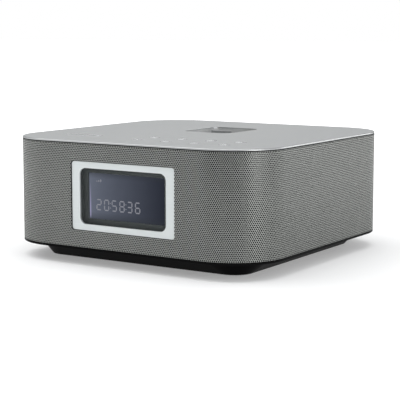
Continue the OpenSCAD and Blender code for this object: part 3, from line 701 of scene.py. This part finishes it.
frame_low, frame_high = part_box("display_bezel")
frame_radius = 0.0026
window_radius = 0.006
frame_side = 0.0085
frame_rail = 0.0054
display_x = (frame_low.x + frame_high.x) / 2
display_z = (frame_low.z + frame_high.z) / 2
frame_width = frame_high.x - frame_low.x
frame_height = frame_high.z - frame_low.z


def rounded_sheet(name, loops, thickness, height=0.0):
    """A flat sheet with holes. Each loop is (x, y, width, length, radius), the outline first."""
    faces = [rounded_face(*loop, height) for loop in loops]
    sheet = joined(faces, name)
    edit(sheet, "FACE")
    bpy.ops.mesh.select_all(action="SELECT")
    bpy.ops.mesh.delete(type="ONLY_FACE")
    bpy.ops.mesh.select_mode(type="EDGE")
    bpy.ops.mesh.select_all(action="SELECT")
    bpy.ops.mesh.remove_doubles(threshold=touching)
    bpy.ops.mesh.fill(use_beauty=True)
    bpy.ops.mesh.select_all(action="SELECT")
    mesh = bmesh.from_edit_mesh(sheet.data)
    if sum(face.normal.z for face in mesh.faces) < 0:
        bpy.ops.mesh.flip_normals()
    leave_edit()
    shape(sheet, "SOLIDIFY", thickness=thickness, offset=1)
    return sheet


def stand_up(piece, back):
    """Turns a flat piece to face the front, its underside at this place along Y."""
    piece.data.transform(Matrix.Translation((0, back, 0)) @ Matrix.Rotation(math.pi / 2, 4, "X"))


def satin(name, dark, bright, roughness, lines=(1, 1, 1), grain=0.0006, depth=0.000004, **values):
    """Brushed or blasted metal. The fine marks are drawn out along the axis with the small number."""
    finish = Finish(name, **values)
    marks = finish.noise(grain, detail=5, where=finish.place(stretch=lines))
    clouds = finish.noise(0.06)
    finish.shade(
        base_color=finish.mix(0.6 * marks + 0.4 * clouds, dark, bright),
        roughness=roughness + 0.12 * (marks - 0.5) + 0.05 * (clouds - 0.5),
        normal=finish.bump(marks, depth),
    )
    return finish


display_frame = rounded_sheet("display_frame", [
    (display_x, display_z, frame_width, frame_height, frame_radius),
    (display_x, display_z, frame_width - 2 * frame_side, frame_height - 2 * frame_rail, window_radius),
], frame_high.y - frame_low.y)
stand_up(display_frame, frame_high.y)
soften(display_frame, 0.00035)
frame_silver = satin("frame_silver", (0.60, 0.635, 0.635), (0.745, 0.78, 0.78), 0.42,
                     lines=(0.02, 1, 1), metallic=0.55, specular_ior_level=0.5)
dress(display_frame, frame_silver, "bezel_silver", "case", "display_bezel")

window_corner = 0.003
window_low, window_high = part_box("display_window")
window = rounded_sheet("clear_window", [(
    display_x, display_z, window_high.x - window_low.x, window_high.z - window_low.z, window_corner,
)], window_high.y - window_low.y)
stand_up(window, window_high.y)
soften(window, 0.0002, segments=2)
acrylic = Finish("clear_acrylic", base_color=(0.0, 0.0, 0.0), roughness=0.05, specular_ior_level=0.0)
acrylic.shade(alpha=0.13 + 0.04 * acrylic.noise(0.01))
dress(window, acrylic, "window_clear", "case", "display_window")

holder_black = moulded("holder_black", (0.115, 0.127, 0.127), roughness=0.5, specular_ior_level=0.1)
holder_black.wear(*nodes_named("display_holder"))

panel_low, panel_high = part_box("lcd_panel")
panel_lap = 0.002
view_left = panel_low.x + panel_lap
view_width = panel_high.x - panel_low.x - 2 * panel_lap
view_low = panel_low.z + panel_lap
view_high = panel_high.z - panel_lap
# Heights of the painted shade bands under the frame, at the bottom and top of the panel.
painted_shade_at_bottom = 0.006
painted_shade_at_top = 0.005
leak_in = 0.0012
leak_half_width = 0.0008
leak_top = view_high - 0.008
leak_fade_up = 0.022
leak_fade_down = 0.003


def lcd_glass():
    """Blue-grey liquid crystal glass that glows, lighter towards its left edge by a painted reflection,
    darker at top and bottom by painted shade under the frame, and with a line of light leaking near its left
    edge.
    """
    finish = Finish("lcd_glass", base_color=(0.0, 0.0, 0.0), roughness=0.5, specular_ior_level=0.0)
    across = ((finish.along("X") - view_left) / view_width).clipped()
    height = finish.along("Z")
    # Painted shade under the frame: the panel's glow is darker in bands at its top and bottom.
    edges = height.rising(view_low, painted_shade_at_bottom) * height.falling(view_high, painted_shade_at_top)
    # Painted reflection: the panel's glow is lighter towards its left edge.
    tone = finish.mix(across ** 0.7, (0.125, 0.140, 0.180), (0.020, 0.023, 0.034))
    tone = finish.mix(0.45 + 0.55 * edges, (0.030, 0.034, 0.040), tone)
    leak = (1 - abs(finish.along("X") - view_left - leak_in) / leak_half_width).clipped()
    leak = leak * height.falling(leak_top, leak_fade_up) * height.rising(view_low, leak_fade_down)
    tone = finish.mix(leak, tone, (0.34, 0.32, 0.50))
    mottle = finish.mix(finish.noise(0.004), (0.004, 0.004, 0.005), tone)
    finish.shade(emission_color=finish.mix(0.94, mottle, tone), emission_strength=1.55)
    return finish


lcd_glass().wear(*nodes_named("lcd_panel"))

digit_height = 0.0099
digit_width = 0.0056
digit_pitch = 0.0082
stroke = 0.0011
ink_thickness = 0.00006
first_digit = Vector((display_x - 0.0325, display_z - 0.0125, 0))
bars_of_a_digit = {
    "a": (0, 1, 0), "b": (1, 0.5, 1), "c": (1, -0.5, 1), "d": (0, -1, 0),
    "e": (-1, -0.5, 1), "f": (-1, 0.5, 1), "g": (0, 0, 0),
}
lit_bars = {
    "0": "abcdef", "2": "abged", "3": "abgcd", "5": "afgcd", "6": "afgedc", "8": "abcdefg",
}


def ink(x, y, length, width, upright=False):
    """One lit segment: a thin bar with pointed ends."""
    size = (width, length) if upright else (length, width)
    bar = rounded_face(x, y, *size, 0.45 * width, 0, 1)
    shape(bar, "SOLIDIFY", thickness=ink_thickness, offset=1)
    return bar


def readout(text):
    """A row of seven-bar digits, with two dots between the pairs."""
    bars = []
    for place, digit in enumerate(text):
        middle = first_digit + Vector((digit_width / 2 + place * digit_pitch, digit_height / 2, 0))
        for bar in lit_bars[digit]:
            side, up, upright = bars_of_a_digit[bar]
            x = middle.x + side * (digit_width - stroke) / 2
            y = middle.y + up * (digit_height - stroke) / 2
            length = (digit_height / 2 if upright else digit_width) - 1.3 * stroke
            bars.append(ink(x, y, length, stroke, upright))
        if place % 2 and place < len(text) - 1:
            gap = middle.x + digit_pitch / 2
            bars += [ink(gap, middle.y + up * digit_height / 5, stroke, stroke) for up in (-1, 1)]
    return bars


signal_pitch = 0.0021
signal_width = 0.0013
signal_left = first_digit.x + 0.0007
signal_low = display_z + 0.0122
shortest_signal = 0.0012
signal_growth = 0.0006
signal_bars = []
for step in range(3):
    bar_height = shortest_signal + signal_growth * step
    signal_bars.append(ink(signal_left + step * signal_pitch, signal_low + bar_height / 2,
                           bar_height, signal_width, upright=True))
digits = joined(readout("205836") + signal_bars, "lit_segments")
stand_up(digits, panel_low.y)
segment_light = Finish("segment_light", roughness=0.5, specular_ior_level=0.05, emission_strength=0.9)
segment_light.shade(
    base_color=(0.02, 0.02, 0.022),
    emission_color=segment_light.mix(segment_light.noise(0.004), (0.26, 0.27, 0.32), (0.42, 0.43, 0.48)),
)
dress(digits, segment_light, "lcd_glass", "case")

light_guide = moulded("light_guide", (0.78, 0.78, 0.74), roughness=0.45, subsurface_weight=0.2)
light_guide.wear(*nodes_named("lcd_backlight"))


def circuit_board():
    """Green solder mask over fine copper tracks."""
    finish = Finish("circuit_board", specular_ior_level=0.5)
    tracks = finish.cells(0.004, finish.place(stretch=(1, 0.25, 1)))
    weave = finish.noise(0.0006)
    finish.shade(
        base_color=finish.mix(0.8 * tracks + 0.2 * weave, (0.012, 0.085, 0.035), (0.022, 0.150, 0.060)),
        roughness=0.32 + 0.1 * (weave - 0.5),
        normal=finish.bump(tracks, 0.00003),
    )
    return finish


board_green = circuit_board()
board_green.wear(*nodes_named("display_board"))

# ---- Top plate ----
# Satin aluminium, pressed flat and blasted, with a rounded rim that catches the light. It is glued
# to a black moulding that shows as a shadow line. Ten holes are punched for the keys and the dock.

plate_low, plate_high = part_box("top_plate")
key_radius = 0.005
key_gap = 0.00035
key_flange = 0.0012
dock_flange = 0.004
dock_radius = 0.012
rim_round = 0.0008
hole_round = 0.00015
edge_band = 0.012
edge_reach = 0.001
key_names = [f"key_{number}" for number in range(1, 9)]


def middle_of(node):
    low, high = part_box(node)
    return (low + high) / 2


key_middles = {name: middle_of(name) for name in key_names}
long_low, long_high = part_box("long_key")
long_middle = middle_of("long_key")
long_length = long_high.x - long_low.x - 2 * key_flange
well_low, well_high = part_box("dock_well")
well_middle = middle_of("dock_well")
dock_width = well_high.x - well_low.x - 2 * dock_flange
dock_length = well_high.y - well_low.y - 2 * dock_flange
hole_radius = key_radius + key_gap
plate = rounded_sheet("aluminium_top_plate", [
    (0, 0, body_width, body_depth, body_radius),
    *((place.x, place.y, 2 * hole_radius, 2 * hole_radius, hole_radius) for place in key_middles.values()),
    (long_middle.x, long_middle.y, long_length + 2 * key_gap, 2 * hole_radius, hole_radius),
    (well_middle.x, well_middle.y, dock_width, dock_length, dock_radius),
], plate_high.z - plate_low.z, plate_low.z)


def round_rim(piece, height, width, segments, outer):
    """Rounds the plate's edges at a height: its outline, or only its holes."""
    def wanted(place):
        inside = abs(place.x) < body_width / 2 - edge_band and abs(place.y) < body_depth / 2 - edge_band
        corner = math.hypot(max(abs(place.x) - body_width / 2 + body_radius, 0),
                            max(abs(place.y) - body_depth / 2 + body_radius, 0))
        return (not inside or corner > body_radius - edge_reach) == outer

    edit(piece, "EDGE")
    pick_edges(piece, lambda a, b: (
        abs(a.z - height) + abs(b.z - height) < touching and wanted(a) and wanted(b)))
    mesh = bmesh.from_edit_mesh(piece.data)
    for edge in mesh.edges:
        if edge.select and edge.calc_face_angle(0) < 1:
            edge.select_set(False)
    bmesh.update_edit_mesh(piece.data)
    bpy.ops.mesh.bevel(offset=width, segments=segments, affect="EDGES")
    leave_edit()


round_rim(plate, plate_high.z, rim_round, 5, outer=True)
round_rim(plate, plate_high.z, hole_round, 2, outer=False)
smooth(plate)
plate_silver = satin("plate_silver", (0.41, 0.42, 0.42), (0.49, 0.50, 0.50), 0.34, grain=0.0003,
                     metallic=1.0, specular_tint=(0.62, 0.62, 0.62))
dress(plate, plate_silver, "plate_aluminium", "case", "top_plate")
cabinet_black.wear(*nodes_named("top_frame"))

# ---- Keys ----
# Eight round keys with domed crowns, and one long key for snooze. Each is a silver moulding with
# a stop flange under the plate and a stem that presses a switch on the key board.

stem_radius = 0.00175
flange_drop = 0.0003
flange_thickness = 0.0012
flange_top = plate_low.z - flange_drop
flange_bottom = flange_top - flange_thickness
key_edge = 0.0003
crown_steps = 7


def crowned(half_width, low, high):
    """The upper part of a key's profile: an upright side, a rounded edge and a shallow dome."""
    dome = high - plate_high.z
    sphere = (half_width ** 2 + dome ** 2) / (2 * dome)
    points = []
    for step in range(crown_steps + 1):
        radius = (half_width - key_edge) * (1 - step / crown_steps)
        points.append((radius, high - sphere + math.sqrt(sphere ** 2 - radius ** 2)))
    rim_height = points[0][1]
    rounding = [
        (half_width - key_edge * (1 - math.cos(turn)), rim_height - key_edge * (1 - math.sin(turn)))
        for turn in (math.radians(step * 30) for step in range(3))
    ]
    return [(half_width, low)] + rounding + points


key_silver = satin("key_silver", (0.41, 0.42, 0.42), (0.49, 0.50, 0.50), 0.26, grain=0.0003,
                   metallic=0.9, specular_tint=(0.62, 0.62, 0.62))
for name, place in key_middles.items():
    key_low, key_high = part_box(name)
    profile = [
        (0, key_low.z), (stem_radius, key_low.z), (stem_radius, flange_bottom),
        (key_radius + key_flange, flange_bottom), (key_radius + key_flange, flange_top),
    ] + crowned(key_radius, flange_top, key_high.z)
    key = turned(f"domed_{name}", profile, Vector((place.x, place.y, 0)), 40)
    smooth(key)
    dress(key, key_silver, "key_silver", name, name)

long_profile = crowned(key_radius, flange_top, long_high.z)
long_outline = [
    (key_radius + key_flange, flange_bottom), (key_radius + key_flange, flange_top),
] + long_profile[:-1]
long_key = lofted("pill_long_key", [
    rounded_face(long_middle.x, long_middle.y, long_length + 2 * (half - key_radius), 2 * half,
                 half, height, 8)
    for half, height in long_outline
])
stem_x = long_length / 2 - 2 * key_radius
for side in (-1, 1):
    step_place = Vector((long_middle.x + side * stem_x, long_middle.y, 0))
    step_up(long_key, flange_bottom, [step_place], stem_radius, long_low.z - flange_bottom)
smooth(long_key)
dress(long_key, key_silver, "key_silver", "long_key", "long_key")

board_green.wear(*nodes_named("key_board"))
switch_black = moulded("switch_black", (0.025, 0.025, 0.027), roughness=0.4)
switch_black.wear(*nodes_named("key_switches"))

# ---- Dock ----
# A silver moulded well with a slot in its floor. The connector's tongue stands in the slot on a
# rocker that tilts on two trunnions, so that a player can be leant to and fro.


def refined(node, name, width, segments=2):
    """A copy of a CAD node, its triangles joined to whole faces and its edges rounded."""
    piece = bpy.data.objects.new(name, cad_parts[node].data.copy())
    bpy.context.scene.collection.objects.link(piece)
    edit(piece, "EDGE")
    bpy.ops.mesh.select_all(action="SELECT")
    bpy.ops.mesh.remove_doubles(threshold=touching)
    bpy.ops.mesh.dissolve_limited(angle_limit=math.radians(0.5))
    leave_edit()
    soften(piece, width, segments)
    return piece


well_silver = satin("well_silver", (0.40, 0.405, 0.405), (0.47, 0.475, 0.475), 0.5, grain=0.0003,
                    metallic=0.5, specular_ior_level=0.4)
well = refined("dock_well", "silver_dock_well", 0.00025)
dress(well, well_silver, "well_silver", "case", "dock_well")

connector_grey = moulded("connector_grey", (0.17, 0.175, 0.175), roughness=0.38)
connector = refined("dock_connector", "connector_tongue", 0.0002)
dress(connector, connector_grey, "connector_black", "dock_connector", "dock_connector")

_, tongue_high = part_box("dock_connector")
tongue_thickness = 0.0024
tongue_rear = middle_of("dock_connector").y + tongue_thickness / 2
contact_count = 15
contact_pitch = 0.00125
contact_width = 0.0007
contact_height = 0.0032
contact_corner = 0.0002
contact_thickness = 0.00006
contact_drop = 0.0006
contact_z = tongue_high.z - contact_drop - contact_height / 2
contacts = []
for number in range(contact_count):
    x = (number - (contact_count - 1) / 2) * contact_pitch
    contact = rounded_sheet("contact", [(
        x, contact_z, contact_width, contact_height, contact_corner)], contact_thickness)
    stand_up(contact, tongue_rear + contact_thickness)
    contacts.append(contact)
contacts = joined(contacts, "gold_contacts")
contact_gold = satin("contact_gold", (0.70, 0.48, 0.17), (0.85, 0.62, 0.26), 0.25, metallic=1.0)
dress(contacts, contact_gold, "tin_plate", "dock_connector")
board_green.wear(*nodes_named("dock_board"))

# ---- Loudspeakers ----
# Two drivers face the front behind the grille, each screwed to a baffle with its own closed box:
# a pressed steel frame, a magnet, a paper cone on a rubber surround, and a coil on a cloth spider.

sides = ("left", "right")


def both(part):
    return nodes_named(*(f"{side}_{part}" for side in sides))


def fibrous(name, colour):
    """Pressed paper: tangled fibres in a dull black face."""
    finish = Finish(name, specular_ior_level=0.2)
    fibres = finish.noise(0.0012, detail=8)
    lighter = tuple(part * 2 for part in colour)
    finish.shade(
        base_color=finish.mix(fibres, colour, lighter),
        roughness=0.8 + 0.1 * (fibres - 0.5),
        normal=finish.bump(fibres, 0.00008),
    )
    return finish


cabinet_black.wear(*both("baffle"), *both("box"))
satin("basket_steel", (0.035, 0.036, 0.038), (0.055, 0.056, 0.058), 0.45, metallic=0.3).wear(*both("basket"))
satin("magnet_steel", (0.09, 0.095, 0.10), (0.15, 0.155, 0.16), 0.5, metallic=0.8).wear(*both("magnet"))
satin("coil_copper", (0.50, 0.20, 0.09), (0.70, 0.32, 0.15), 0.3, lines=(1, 0.02, 1),
      metallic=1.0).wear(*both("voice_coil"))
woven("spider_cloth", (0.24, 0.15, 0.06), 0.0008).wear(*both("spider"))
fibrous("cone_paper", (0.018, 0.018, 0.019)).wear(*both("cone"), *both("dust_cap"))
moulded("surround_rubber", (0.012, 0.012, 0.012), roughness=0.6).wear(*both("surround"))

# ---- Electronics ----
# The main board with its heat sink and the shielded tuner, and the power board beside it. They
# stand on posts of the cabinet floor behind the loudspeaker boxes.

board_green.wear(*nodes_named("main_board", "power_board"))
satin("sink_aluminium", (0.55, 0.56, 0.57), (0.72, 0.73, 0.74), 0.4, lines=(1, 0.05, 1),
      metallic=1.0).wear(*nodes_named("heat_sink"))
tin_plate = satin("tin_plate", (0.55, 0.55, 0.54), (0.72, 0.72, 0.71), 0.3, metallic=1.0)
tin_plate.wear(*nodes_named("tuner_module"))

# ---- Rear panel ----
# A black moulded panel closes the back between the two ends of the grille, held by four screws.
# Through it come the mains inlet, the aerial socket and the line input.

panel_black = moulded("panel_black", (0.014, 0.014, 0.015), roughness=0.5, specular_ior_level=0.3)
socket_black = moulded("socket_black", (0.010, 0.010, 0.011), roughness=0.35)
for node, name, edge, finish, slot in (
    ("rear_panel", "moulded_rear_panel", 0.0003, panel_black, "black_plastic"),
    ("power_inlet", "mains_inlet", 0.0003, socket_black, "socket_black"),
    ("line_in_jack", "line_in_socket", 0.0003, socket_black, "socket_black"),
    ("aerial_socket", "coaxial_aerial_socket", 0.0002, tin_plate, "tin_plate"),
):
    dress(refined(node, name, edge), finish, slot, "case", node)

# ---- Screws ----
# Black screws where they show, zinc-plated ones inside.

screw_black = satin("screw_black", (0.020, 0.020, 0.021), (0.040, 0.040, 0.042), 0.35, metallic=0.7)
screw_black.wear(*nodes_named("case_screws", "rear_screws", "speaker_screws"))
screw_zinc = satin("screw_zinc", (0.50, 0.51, 0.53), (0.68, 0.69, 0.71), 0.3, metallic=1.0)
screw_zinc.wear(*nodes_named("board_screws", "key_board_screws"))
